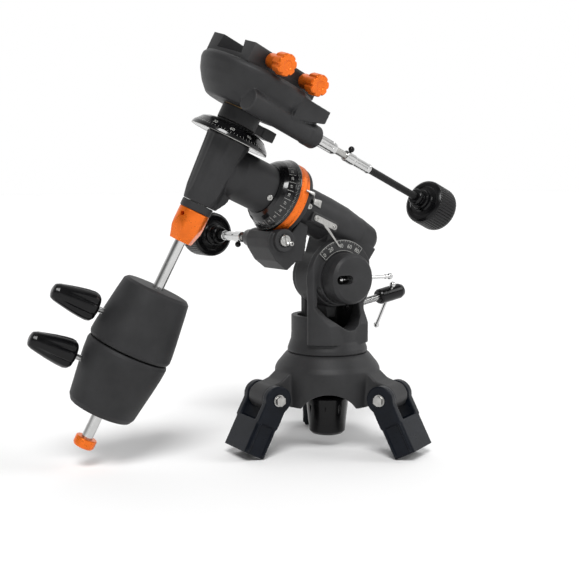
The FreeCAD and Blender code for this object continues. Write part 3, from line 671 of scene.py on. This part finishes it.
def weights():
    bore = 6.1
    counterweight("upper_counterweight",
                  [(bore, -143.3), (33.6, -143.3), (36.9, -146.4), (39.1, -160), (41.0, -174),
                   (43.3, -190), (44.9, -203), (45.3, -209.5), (43.9, -213.4), (bore, -213.7)],
                  "upper_weight", "upper_weight")
    counterweight("lower_counterweight",
                  [(bore, -214.5), (43.8, -214.8), (44.9, -218.6), (44.0, -231), (42.0, -246),
                   (39.6, -262), (37.0, -279.5), (33.6, -285.2), (bore, -285.5)],
                  "lower_weight", "lower_weight")


def tulip(r, z, angle):
    """Flutes of a clamp knob, deep at its foot and gone at its tip."""
    depth = 0.21 * max(0.0, min(1.0, (98 - z) / 40)) * min(1.0, max(0.0, (z - 49) / 3))
    groove = max(0.0, math.cos(6 * angle)) ** 1.6 if r > 6 else 0.0
    return r * (1 - depth * groove)


def clamp_knob(name, s, body, node):
    outline = rounded([(3.3, 50), (8.5, 50), (12.6, 51.2), (15.2, 54), (15.9, 58), (15.2, 66),
                       (13.6, 76), (11.3, 87), (9.5, 95), (7.4, 99.3), (4, 100.4), (0, 100.5)], 2.5, 4)
    knob = lathe(name, outline, clamp_frame(s), segments=144, shape=tulip, angle=50)
    finish_piece(knob, body, "black_plastic", node)


def clamp_screw(name, s, body, node):
    outline = [(0, 6.6), (2.8, 6.6)]
    z = 7.0
    while z < 55:
        outline += [(3.2, z), (3.2, z + 0.3), (2.75, z + 0.6), (2.75, z + 0.75)]
        z += 1.0
    outline += [(2.8, 56), (0, 56)]
    screw = lathe(name, outline, clamp_frame(s), segments=32)
    finish_piece(screw, body, "chrome", node)


GROOVES = 46


def fluted_grip(r, z, angle):
    """Fine grooves along the rim of a control knob."""
    if r < 25.4:
        return r
    return r - 1.0 * (0.5 - 0.5 * math.cos(GROOVES * angle)) ** 2


def control_knob(name, place, start, body, node):
    outline = [(3.05, 0), (8.2, 0), (9.4, 1.2), (9.4, 6.2), (7.4, 7.4), (7.4, 8.8), (11.2, 9.6),
               (12, 11), (12, 14.6), (13.4, 16.2), (17.6, 16.9), (18.6, 16.0), (22.6, 16.0),
               (25.2, 17.6), (26, 20.2), (26, 45), (25.2, 47.8), (22.4, 49), (17, 49), (16, 48.2),
               (6, 48.2), (5, 48.9), (0, 49)]
    shifted = [(r, z + start) for r, z in rounded(outline, 0.7, 3)]
    knob = lathe(name, shifted, place, segments=GROOVES * 8, shape=fluted_grip, angle=50)
    finish_piece(knob, body, "black_plastic", node)


def control_shaft(name, place, start, end, body, node):
    outline = rounded([(0, start - 26), (3, start - 26), (3, start), (4.3, start), (4.3, start + 3),
                       (4.1, start + 4), (4.1, end - 17), (4.7, end - 16), (4.7, end - 14),
                       (3, end - 13.6), (3, end), (0, end)], 0.4, 2)
    shaft = lathe(name, outline, place, segments=40)
    finish_piece(shaft, body, "black_rubber", node)


def coupling(name, place, start, body, node):
    """Plated coupling: collar, slotted ferrule and a rolled end."""
    profile = [(4.05, 0), (5.5, 0), (6, 0.6), (6, 13.6), (5.6, 14.4), (5.2, 15), (5.2, 37), (5.6, 38),
               (5.6, 39.6), (5.2, 40), (3.05, 40), (3.05, 14), (4.05, 12)]
    outline = rounded([(r, z + start) for r, z in profile], 0.25, 2)

    def slotted(r, z, angle):
        inside = start + 16.5 < z < start + 36.5 or start + 1.5 < z < start + 12.8
        return r - 0.9 * max(0.0, math.cos(4 * angle)) ** 8 if inside and r > 4.5 else r

    tube = lathe(name, cut_up(outline, 1.0), place, segments=96, shape=slotted, closed=True)
    finish_piece(tube, body, "chrome", node)


def pinch_screw(name, place, at, toward, body, node):
    """Small thumb screw: threaded stem and a ball with a knurled neck."""
    outward = place @ Matrix.Translation((0, 0, at * MM)) @ Matrix.Rotation(toward, 4, "Z") \
        @ Z_TO_X
    arc = [(3.4 * math.sin(t), 9.2 - 3.4 * math.cos(t)) for t in
           [math.radians(28 + 152 * i / 14) for i in range(15)]]
    arc[-1] = (0, arc[-1][1])
    outline = [(0, 4.2), (1.5, 4.2), (1.5, 6.1)] + arc
    screw = lathe(name, outline, outward, segments=40)
    finish_piece(screw, body, "black_plastic", node)


def worm_bush():
    """Ribbed plated bush where the Dec worm leaves its case."""
    outline = rounded([(4.1, 66), (7.2, 66), (7.2, 69), (6.8, 69.8), (6.8, 93), (6.2, 96), (4.1, 96)],
                      0.3, 2)

    def ribbed(r, z, angle):
        return r - 0.9 * max(0.0, math.cos(6 * angle)) ** 4 if 71 < z < 91.5 and r > 5 else r

    bush = lathe("dec_worm_bush_ribbed", cut_up(outline, 1.2), DEC_WORM, segments=120, shape=ribbed,
                 closed=True)
    finish_piece(bush, "dec_axis", "chrome", "dec_worm_bush")


def bar_collar():
    """Turned collar whose lower part is cut to six flats by a pyramid."""
    low, top = -88.0, -53.1
    outline = rounded([(6.05, low), (16.6, low), (16.6, top - 0.8), (15.9, top), (6.05, top)], 0.15, 2)
    collar = lathe("bar_collar_faceted", outline, DEC, segments=144, closed=True)
    corner = math.cos(math.pi / 6)
    pyramid = lathe("pyramid", [(0, low - 1), (10.63 / corner, low - 1), (21.0 / corner, top + 2),
                                (0, top + 2)], DEC @ Matrix.Rotation(-0.35, 4, "Z"), segments=6)
    boolean(collar, pyramid, "INTERSECT")
    hole_at = DEC @ Matrix.Translation((0, 0, -60.5 * MM)) @ Matrix.Rotation(math.radians(194), 4, "Z")
    hole = lathe("hole", [(0, 0), (2.6, 0), (2.6, 30), (0, 30)], hole_at @ Z_TO_X, segments=32)
    boolean(collar, hole)
    bevel = collar.modifiers.new("bevel", "BEVEL")
    bevel.width, bevel.segments = 0.25 * MM, 2
    bevel.limit_method, bevel.angle_limit = "ANGLE", math.radians(20)
    apply_all(collar)
    shade(collar.data, 25)
    finish_piece(collar, "dec_axis", "orange_anodised", "bar_collar")


def bar_end_cap():
    outline = rounded([(6.1, -316.5), (10.9, -316.5), (11.6, -317.3), (11.6, -324.6), (10.3, -326.9),
                       (4.5, -327), (4, -326.2), (0, -326.2), (0, -316.6), (6.1, -316.6)], 0.6, 3)
    cap = lathe("bar_end_cap_turned", outline, DEC, segments=96)
    finish_piece(cap, "dec_axis", "orange_anodised", "bar_end_cap")


def lock_ring():
    outline = rounded([(10.1, -53), (16.6, -53), (17.2, -52.4), (17.2, -45.4), (16.6, -44.8),
                       (10.1, -44.8)], 0.4, 3)
    ring = lathe("bar_lock_ring_turned", outline, DEC, segments=120, closed=True)
    finish_piece(ring, "dec_axis", SLOT_OF["bar_lock_ring"], "bar_lock_ring")


def gear_band():
    """Orange band with fine teeth between its rolled edges."""
    inner, outer = 39.05, 40.3
    outline = [(inner, 62.9), (outer - 0.2, 62.9), (outer, 63.1), (outer, 64.1), (outer - 0.35, 64.4),
               (outer - 0.35, 64.9), (outer, 65.2), (outer, 71.7), (outer - 0.35, 72.0),
               (outer - 0.35, 72.5), (outer, 72.8), (outer, 73.7), (outer - 0.2, 73.9), (inner, 73.9)]
    def knurled(r, z, angle):
        teeth = 0.5 - 0.5 * math.cos(120 * angle)
        return r - 0.28 * teeth if 65 < z < 72 and r > inner + 0.5 else r

    band = lathe("gear_band_rolled", outline, RA0, segments=720, shape=knurled, closed=True, angle=60)
    window = prism("window", [(-60, -11), (-30, -11), (-30, 11), (-60, 11)], 60, 80, RA0)
    boolean(band, window, angle=60)
    finish_piece(band, "ra_housing", "orange_anodised", "gear_band")


def worm_cover():
    outline = rounded([(4.45, 25), (11.8, 25), (12, 27), (11.8, 30.4), (10.8, 32), (10.2, 36), (9.4, 43),
                       (7.4, 47.4), (4.45, 48)], 1.2, 4)
    cover = lathe("ra_worm_cover_cap", outline, RA_WORM, segments=96, closed=True)
    finish_piece(cover, "ra_housing", "black_plastic", "ra_worm_cover")


def worm_plug():
    """Plated slotted plug that ends the RA worm's bore, with its small locking screw."""
    outward = RA_WORM @ OVER
    outline = rounded([(0, 24.6), (6.4, 24.6), (6.4, 28.4), (5.9, 29.2), (4.4, 29.2), (3.9, 28.6),
                       (3.4, 28.0), (0, 28.0)], 0.2, 2)
    plug = lathe("ra_worm_plug_slotted", outline, outward, segments=64)
    slot = prism("slot", [(-7, -0.8), (7, -0.8), (7, 0.8), (-7, 0.8)], 27, 31,
                 outward @ Matrix.Rotation(math.radians(35), 4, "Z"))
    boolean(plug, slot)
    finish_piece(plug, "ra_housing", "steel", "ra_worm_plug")
    socket_screw("ra_worm_lock_screw", 2.5, 1.1, outward @ Matrix.Translation((0, -9.6 * MM, 27.2 * MM)),
                 "ra_housing")


def hexed(limit):
    """Shape that turns the points inside a radius into a hexagon."""
    def shape(r, z, angle):
        if r > limit:
            return r
        flat = math.pi / 3
        return r / math.cos(angle % flat - flat / 2) * math.cos(flat / 2)
    return shape


def socket_screw(name, radius, height, place, body, *nodes):
    """Domed screw head with a hexagon socket, seated at the place's origin."""
    key = radius * 0.48
    outline = [(0, -0.4), (radius, -0.4), (radius, height * 0.55), (radius * 0.82, height * 0.92),
               (key * 1.12, height), (key, height - 0.1), (key, height * 0.25), (0, height * 0.25)]
    screw = lathe(name, outline, place, segments=48, shape=hexed(key * 1.02), angle=30)
    return finish_piece(screw, body, "steel", *nodes)


def facing_near(place, x, z, y):
    """A frame on a local frame, its z towards -y, at a point given in millimetres."""
    return place @ Matrix.Translation((x * MM, y * MM, z * MM)) @ Z_TO_NEAR


def small_screws():
    socket_screw("latitude_plate_screw_low", 2.3, 1.3, facing_near(RA0, -9.65, 9.2, -29.2), "ra_housing",
                 "housing_screws")
    socket_screw("latitude_plate_screw_high", 2.3, 1.3, facing_near(RA0, -9.65, 35.3, -29.2),
                 "ra_housing")
    socket_screw("ra_index_screw", 3.2, 1.6, facing_near(RA0, -1, 47.6, -25.9), "ra_housing")
    angle = math.radians(-104)
    out = RA @ Matrix.Rotation(angle, 4, "Z") @ Matrix.Translation((26.8 * MM, 0, 98 * MM)) \
        @ Z_TO_X
    socket_screw("ra_clutch_screw_head", 3.3, 1.5, out, "ra_axis", "ra_clutch_screw")


def latitude_plate():
    """Steel plate with round ends, and the needle that reaches the scale."""
    centre, half, low, high = -9.65, 3.25, 9.05, 35.45
    outline = []
    for i in range(13):
        t = math.pi * i / 12
        outline.append((centre + half * math.cos(t), high + half * math.sin(t)))
    for i in range(13):
        t = math.pi + math.pi * i / 12
        outline.append((centre + half * math.cos(t), low + half * math.sin(t)))
    plate = prism("latitude_pointer_plate", outline, -29.2, -28.2, RA0, axis="y")
    needle = prism("needle", [(-12, 26), (-12, 19), (-26.2, -5.7), (-27.2, -4.9)],
                   -29.0, -28.3, RA0, axis="y")
    join(plate, needle)
    finish_piece(plate, "ra_housing", "steel", "latitude_pointer")


def lock_cap():
    outline = rounded([(0, 38.4), (5.05, 38.4), (5.05, 27.4), (28.1, 27.4), (28.5, 27.8), (28.5, 40),
                       (27.6, 46), (24.5, 49), (0, 52.5)], 1.6, 5)
    cap = lathe("altitude_lock_cap_turned", outline, PIVOT, segments=160)
    ends = []
    for centre, start in ((-8.6, -math.pi / 2), (-18.8, math.pi / 2)):
        for i in range(9):
            t = start + math.pi * i / 8
            ends.append((centre + 5.0 * math.cos(t), 5.0 * math.sin(t)))
    boolean(cap, prism("slot", ends, 38.5, 60, PIVOT))
    boolean(cap, lathe("hole", [(0, -8), (2.04, -8), (2.04, 40), (0, 40)], lever_place(), segments=32))
    finish_piece(cap, "altitude_lock", "cast_grey", "altitude_lock_cap")


def ball_end(start, radius, neck):
    """Outline of a ball on the end of a bar, from its neck on, going up z."""
    first = math.asin(neck / radius)
    centre = start + radius * math.cos(first)
    arc = [(radius * math.sin(t), centre - radius * math.cos(t)) for t in
           [first + (math.pi - first) * i / 14 for i in range(15)]]
    arc[-1] = (0, arc[-1][1])
    return arc


def lever_place():
    return PIVOT @ Matrix.Translation((0, 0, LEVER_Z * MM)) @ Z_TO_X


def lock_lever():
    """Bar through the cap, with a ball in the cap's slot and one outside."""
    inner = [(r, -z) for r, z in reversed(ball_end(11.25, 3.4, 2.0))]
    bar = [(2, -11), (2, 48.2), (2.6, 48.8), (2.6, 50.2), (2, 50.8)]
    outline = inner + bar + ball_end(53.0, 3.6, 2.0)
    lever = lathe("altitude_lever_bar", outline, lever_place(), segments=48)
    finish_piece(lever, "altitude_lock", "chrome", "altitude_lock_lever")


TOMMY_IN_SCREW = Vector((0.602, -0.798, 0))    # across the altitude screw's barrel


def altitude_screw():
    outline = [(0, -26), (3.4, -26)]
    z = -25.5
    while z < 23:
        outline += [(4.0, z), (4.0, z + 0.35), (3.45, z + 0.7), (3.45, z + 0.85)]
        z += 1.25
    outline += [(3.6, 24.2), (0, 24.2)]
    thread = lathe("altitude_screw_thread", outline, SCREW, segments=40)
    finish_piece(thread, "altitude_screw", "chrome", "altitude_screw")
    barrel_line = rounded([(0, 24.1), (7.6, 24.1), (9, 27), (9, 55.6), (7.2, 60.4), (3, 62.4),
                           (0, 62.5)], 1.5, 5)
    barrel = lathe("altitude_screw_barrel", barrel_line, SCREW, segments=96)
    tommy = axes(SCREW @ Vector((0, 0, 41 * MM)), SCREW.to_3x3() @ TOMMY_IN_SCREW,
                 axis_of("altitude_screw_turn"))
    bore = lathe("bore", [(0, -20), (2.36, -20), (2.36, 20), (0, 20)], tommy, segments=32)
    boolean(barrel, bore, angle=40)
    finish_piece(barrel, "altitude_screw", "black_plastic")
    high = [(2.3, 12.3)] + ball_end(12.3, 3.6, 2.3)
    low = [(r, -37 - z) for r, z in reversed(ball_end(12.3, 3.6, 2.3))]
    rod = lathe("tommy_bar_turned", low + high, tommy, segments=48)
    finish_piece(rod, "tommy_bar", "chrome", "altitude_tommy_bar")


def seven_lobes(r, z, angle):
    return r - 1.6 * max(0.0, math.cos(7 * angle)) ** 2 if r > 9.5 else r


def saddle_clamp(name, joint, body, node):
    """Orange clamp knob with seven lobes, on its hub and screw."""
    outline = rounded([(0, 24), (4, 24), (4, 42), (8, 42), (8, 54.5), (9, 56), (11, 56.2), (11.6, 58),
                       (11.6, 68), (10.6, 70), (5, 70), (4.4, 69.2), (0, 69.2)], 0.7, 3)
    point = DEC.inverted() @ point_of(joint)
    place = DEC @ Matrix.Translation((point.x, 0, point.z)) @ Z_TO_NEAR
    knob = lathe(name, outline, place, segments=168, shape=seven_lobes, angle=50)
    finish_piece(knob, body, "orange_anodised", node)


def azimuth_knob():
    """Tapered cup with faint flutes, on the bolt of the azimuth clamp."""
    def fluted(r, z, angle):
        off = (angle + math.pi / 8) % (math.pi / 4) - math.pi / 8
        reach = 24.4 * math.sin(off)
        if z > -60 or r < 15 or abs(reach) > 2:
            return r
        return min(r, 24.4 * math.cos(off) - math.sqrt(4 - reach * reach))

    outline = [(0, -94), (17.5, -94), (20.3, -91)]
    outline += [(20.3 + 4 * i / 24, -91 + 38 * i / 24) for i in range(1, 25)]
    outline += [(23, -50.5), (11, -50.5), (11, -29.6), (0, -29.6)]
    knob = lathe("azimuth_knob_grip", rounded(outline, 1.0, 3), BASE, segments=240, shape=fluted)
    bolt = lathe("bolt", [(0, -30.5), (5, -30.5), (5, 18.6), (4.6, 19), (0, 19)], BASE, segments=40)
    join(knob, bolt)
    finish_piece(knob, "azimuth_lock", "black_plastic", "azimuth_lock_knob")


def bevelled_nodes():
    """CAD pieces whose shape is right, with their sharp edges rounded."""
    for node, body, width in (("leg_hinge_bolts", "tripod_head", 0.35),
                              ("altitude_pivot_nut", "yoke", 0.5),
                              ("saddle", "dec_axis", 0.9),
                              ("saddle_screws", "dec_axis", 0.25), ("ra_pointer", "ra_housing", 0.15)):
        piece = bevelled(node, node + "_rounded", width)
        finish_piece(piece, body, SLOT_OF[node], node)


# ---- dials ---------------------------------------------------------------------------------------
def printed(name, bm, labels, body):
    """Marks and numbers in white ink, as one piece."""
    marks = from_bmesh(name, bm, BASE, INK)
    for label in labels:
        label.data.materials.clear()
        label.data.materials.append(INK)
    join(marks, *labels)
    for polygon in marks.data.polygons:
        polygon.material_index = 0
    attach(marks, body)
    return marks


def in_mm(place):
    """A metre frame, for points in millimetres that from_bmesh scales back."""
    return Matrix.Scale(1000, 4) @ place @ Matrix.Scale(MM, 4)


def lift(place, height_mm):
    """A metre place, from one in millimetres, raised along its z."""
    raised = place @ Matrix.Translation((0, 0, height_mm))
    raised.translation = raised.translation * MM
    return raised


def ra_circle():
    low, waist, top = (41.2, 76.6), (38.6, 80.5), (35.0, 88.0)
    outline = rounded([(26.9, 74.3), (40.7, 74.3), (41.2, 74.8), low, waist, top, (32, 91.5), (28.6, 94),
                       (26.9, 94)], 0.5, 3)
    dial = lathe("ra_circle_turned", outline, RA, segments=192, closed=True, angle=35)
    finish_piece(dial, "ra_circle", "dial_black", "ra_setting_circle")
    bm, labels = bmesh.new(), []
    for i in range(144):
        place = in_mm(RA) @ cone_place(low, waist, 0.35, 2 * math.pi * i / 144)
        bar_mark(bm, place, 0.2, 1.5 if i % 3 else 2.6)
    for hour in range(24):
        angle = 2 * math.pi * (hour + 0.5) / 24
        bar_mark(bm, in_mm(RA) @ cone_place(waist, top, 0.5, 2 * math.pi * hour / 24), 0.3, 7.4)
        spot = cone_place(waist, top, 0.5, angle)
        place = RA @ lift(spot, 0.0)
        labels.append(number(str(hour), 2.7, place, "hour_%d" % hour))
    printed("ra_circle_print", bm, labels, "ra_circle")


def dec_circle():
    low, high = (42.0, 33.5), (35.4, 41.0)
    outline = rounded([(22.1, 30.6), (42.6, 29.4), (43, 29.7), (43, 30.8), low, (38, 37.8), high,
                       (30, 43.6), (24.5, 45), (22.1, 45)], 0.6, 3)
    dial = lathe("dec_circle_turned", outline, DEC0, segments=192, closed=True, angle=35)
    finish_piece(dial, "dec_circle", "dial_black", "dec_setting_circle")
    rim = lathe("dec_circle_rim", [(42.2, 29.35), (43.0, 29.35), (43.0, 30.0), (42.2, 30.0)], DEC0,
                segments=192, closed=True)
    finish_piece(rim, "dec_circle", "steel")
    bm, labels = bmesh.new(), []
    for i in range(72):
        place = in_mm(DEC0) @ cone_place(low, (38, 37.8), 0.28, 2 * math.pi * i / 72)
        bar_mark(bm, place, 0.22, 1.7 if i % 2 else 2.6)
    for i in range(12):
        value = (0, 30, 60, 90, 60, 30)[i % 6]
        spot = cone_place(low, high, 0.63, 2 * math.pi * i / 12)
        labels.append(number(str(value), 3.8, DEC0 @ lift(spot, -0.12), "degree_%d" % i))
    printed("dec_circle_print", bm, labels, "dec_circle")


def arc_strip(bm, r0, r1, a0, a1, z0, z1, count=48):
    """A thin curved bar between two angles from the vertical, in the pivot's frame."""
    rows = []
    for i in range(count + 1):
        a = math.radians(a0 + (a1 - a0) * i / count)
        corners = ((r0, z0), (r1, z0), (r1, z1), (r0, z1))
        rows.append([bm.verts.new((r * math.sin(a), r * math.cos(a), z)) for r, z in corners])
    for low, high in zip(rows, rows[1:]):
        for k in range(4):
            m = (k + 1) % 4
            bm.faces.new((low[k], low[m], high[m], high[k]))
    bm.faces.new(rows[0][::-1])
    bm.faces.new(rows[-1])


def latitude_print():
    """White border, graduations and numbers of the latitude scale."""
    face, proud, label_r = 27.6, 27.72, 35.6
    bm = bmesh.new()
    arc_strip(bm, 41.8, 42.15, -48, 41, face, proud)
    arc_strip(bm, 30.45, 30.8, -48, 41, face, proud)
    for a in (-48, 41):
        arc_strip(bm, 30.45, 42.15, a - 0.3, a + 0.3, face, proud, 2)
    for value in range(0, 85, 5):
        a = -43 + value * 0.965
        arc_strip(bm, 40.6 if value % 10 else 39.8, 41.8, a - 0.2, a + 0.2, face, proud, 2)
    for vert in bm.verts:
        vert.co = (in_mm(PIVOT) @ vert.co)
    labels = []
    for value, a in ((0, -43), (20, -26.5), (40, -3.6), (60, 16), (80, 34)):
        t = math.radians(a)
        at = Vector((label_r * math.sin(t), label_r * math.cos(t), face)) * MM
        spot = PIVOT @ Matrix.Translation(at) @ Matrix.Rotation(-t, 4, "Z")
        labels.append(number(str(value), 4.8, spot, "latitude_%d" % value))
    printed("latitude_scale_print", bm, labels, "yoke")


# ---- the stage -----------------------------------------------------------------------------------
def stage():
    lowest = CAD_BOX[0].z
    floor = bpy.data.meshes.new("floor")
    size = 14.0
    floor.from_pydata([(-size, -size, lowest), (size, -size, lowest), (size, size, lowest),
                       (-size, size, lowest)], [], [(0, 1, 2, 3)])
    ground = bpy.data.objects.new("floor", floor)
    link(ground)
    pale = Shader("pale_floor", (0.93, 0.93, 0.93), 0.8, Specular_IOR_Level=0.2)
    pale.vary_roughness(pale.noise(6, 3), 0.75, 0.85)
    floor.materials.append(pale.material)

    # the studio's walls: white behind the object and all round near the floor, darker elsewhere
    world = bpy.data.worlds.new("studio")
    world.use_nodes = True
    nodes, links = world.node_tree.nodes, world.node_tree.links
    direction = nodes.new("ShaderNodeTexCoord").outputs["Generated"]
    brighter = nodes.new("ShaderNodeMath")
    brighter.operation = "MAXIMUM"
    behind = (math.sin(VIEW_YAW), math.cos(VIEW_YAW), 0)
    sides = ((behind, -0.25, 0.7, 0.16), ((0, 0, -1), -0.32, -0.10, 0.0))
    for i, (toward, start, end, low) in enumerate(sides):
        along = nodes.new("ShaderNodeVectorMath")
        along.operation = "DOT_PRODUCT"
        along.inputs[1].default_value = toward
        links.new(direction, along.inputs[0])
        level = nodes.new("ShaderNodeMapRange")
        for socket, value in (("From Min", start), ("From Max", end), ("To Min", low), ("To Max", 1.0)):
            level.inputs[socket].default_value = value
        links.new(along.outputs["Value"], level.inputs["Value"])
        links.new(level.outputs["Result"], brighter.inputs[i])
    links.new(brighter.outputs["Value"], nodes["Background"].inputs["Color"])
    bpy.context.scene.world = world

    for name, toward, softness, strength in (("key", (0.50, 0.70, -1.0), 24, 2.3),
                                             ("fill", (-0.95, 0.75, -0.8), 30, 0.9)):
        light = bpy.data.lights.new(name, "SUN")
        light.angle, light.energy = math.radians(softness), strength
        lamp = bpy.data.objects.new(name, light)
        lamp.rotation_euler = Vector(toward).to_track_quat("-Z", "Y").to_euler()
        link(lamp)


def camera():
    yaw, pitch = VIEW_YAW, math.radians(4.58)
    lens = bpy.data.cameras.new("camera")
    lens.sensor_width, lens.lens = 36.0, 67.14
    lens.shift_y = -0.0486
    eye = bpy.data.objects.new("camera", lens)
    eye.location = (-0.73245, -0.9722, 0.19909)
    ahead = math.cos(pitch)
    forward = Vector((math.sin(yaw) * ahead, math.cos(yaw) * ahead, -math.sin(pitch)))
    eye.rotation_euler = forward.to_track_quat("-Z", "Y").to_euler()
    link(eye)
    bpy.context.scene.camera = eye
    bpy.context.scene.view_settings.view_transform = "Standard"


# ---- the whole -----------------------------------------------------------------------------------
def build():
    camera()
    stage()
    paint_cad_nodes()
    tripod_head()
    for leg in LEGS:
        leg_bracket(leg)
    yoke()
    ra_housing()
    dec_housing()
    dec_head()
    clamp_ring()
    weights()
    clamp_knob("upper_clamp_tulip", UPPER_S, "upper_clamp", "upper_clamp_knob")
    clamp_knob("lower_clamp_tulip", LOWER_S, "lower_clamp", "lower_clamp_knob")
    clamp_screw("upper_clamp_thread", UPPER_S, "upper_clamp", "upper_clamp_screw")
    clamp_screw("lower_clamp_thread", LOWER_S, "lower_clamp", "lower_clamp_screw")
    control_knob("ra_knob_grooved", RA_WORM, RA_KNOB, "ra_worm", "ra_control_knob")
    control_knob("dec_knob_grooved", DEC_WORM, DEC_KNOB, "dec_worm", "dec_control_knob")
    control_shaft("ra_shaft_sleeve", RA_WORM, RA_COUPLING + COUPLING_LENGTH, RA_KNOB + SHAFT_IN_KNOB,
                  "ra_worm", "ra_control_shaft")
    control_shaft("dec_shaft_sleeve", DEC_WORM, DEC_COUPLING + COUPLING_LENGTH, DEC_KNOB + SHAFT_IN_KNOB,
                  "dec_worm", "dec_control_shaft")
    coupling("ra_coupling_slotted", RA_WORM, RA_COUPLING, "ra_worm", "ra_coupling")
    coupling("dec_coupling_slotted", DEC_WORM, DEC_COUPLING, "dec_worm", "dec_coupling")
    pinch_screw("ra_pinch_ball", RA_WORM, RA_COUPLING + 5, math.pi, "ra_worm", "ra_pinch_screw")
    pinch_screw("dec_pinch_ball", DEC_WORM, DEC_COUPLING + 5, math.pi / 2, "dec_worm", "dec_pinch_screw")
    worm_bush()
    bar_collar()
    bar_end_cap()
    lock_ring()
    gear_band()
    worm_cover()
    worm_plug()
    small_screws()
    latitude_plate()
    lock_cap()
    lock_lever()
    altitude_screw()
    saddle_clamp("saddle_clamp_front_lobed", "saddle_clamp_front_turn", "saddle_clamp_front",
                 "saddle_clamp_front")
    saddle_clamp("saddle_clamp_rear_lobed", "saddle_clamp_rear_turn", "saddle_clamp_rear",
                 "saddle_clamp_rear")
    azimuth_knob()
    bevelled_nodes()
    ra_circle()
    dec_circle()
    latitude_print()


build()
